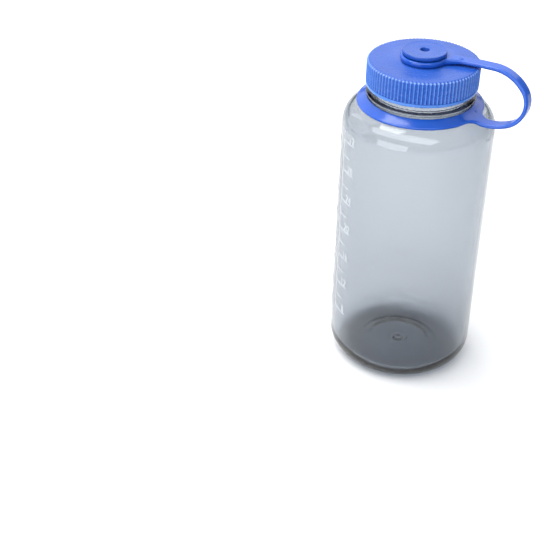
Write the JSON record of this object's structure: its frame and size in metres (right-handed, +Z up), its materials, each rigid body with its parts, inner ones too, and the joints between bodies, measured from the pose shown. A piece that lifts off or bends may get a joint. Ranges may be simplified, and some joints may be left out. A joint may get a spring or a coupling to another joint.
{
  "type": "water bottle",
  "caption": "Clear grey wide-mouth drinking bottle with printed volume scales and a ribbed blue screw cap held on by a flexible strap that loops from a neck collar to the cap's button.",
  "frame": {"origin": "on the bottle's axis, on the plane of the surface it stands on", "axes": "+Z up along the bottle's axis towards the mouth; +X from the axis towards the middle of the tether's loop"},
  "size_m": [0.1107, 0.091, 0.2115],
  "materials": {
    "clear_plastic": "clear grey copolyester, polished",
    "printed_ink": "white screen-printed ink",
    "cap_plastic": "blue polypropylene, satin as moulded",
    "tether_plastic": "blue flexible polymer, satin with brighter edges"
  },
  "bodies": {
    "bottle": {"bottle_body": "clear_plastic", "ounce_scale": "printed_ink", "millilitre_scale": "printed_ink", "tether_collar": "tether_plastic", "tether_strap": "tether_plastic"},
    "hub": {"tether_hub": "tether_plastic"},
    "cap": {"screw_cap": "cap_plastic"}
  },
  "joints": [
    {"name": "cap_lift", "type": "slide", "parent": "bottle", "child": "hub", "axis": [0, 0, 1], "range_m": [0, 0.0151], "deforming": ["tether_strap"]},
    {"name": "cap_turn", "type": "hinge", "parent": "hub", "child": "cap", "pos_m": [0, 0, 0.2065], "axis": [0, 0, 1], "range_deg": [0, 1080]}
  ],
  "couplings": [
    {"joint": "cap_lift", "follows": "cap_turn", "m_per_rad": 0.00079577}
  ]
}
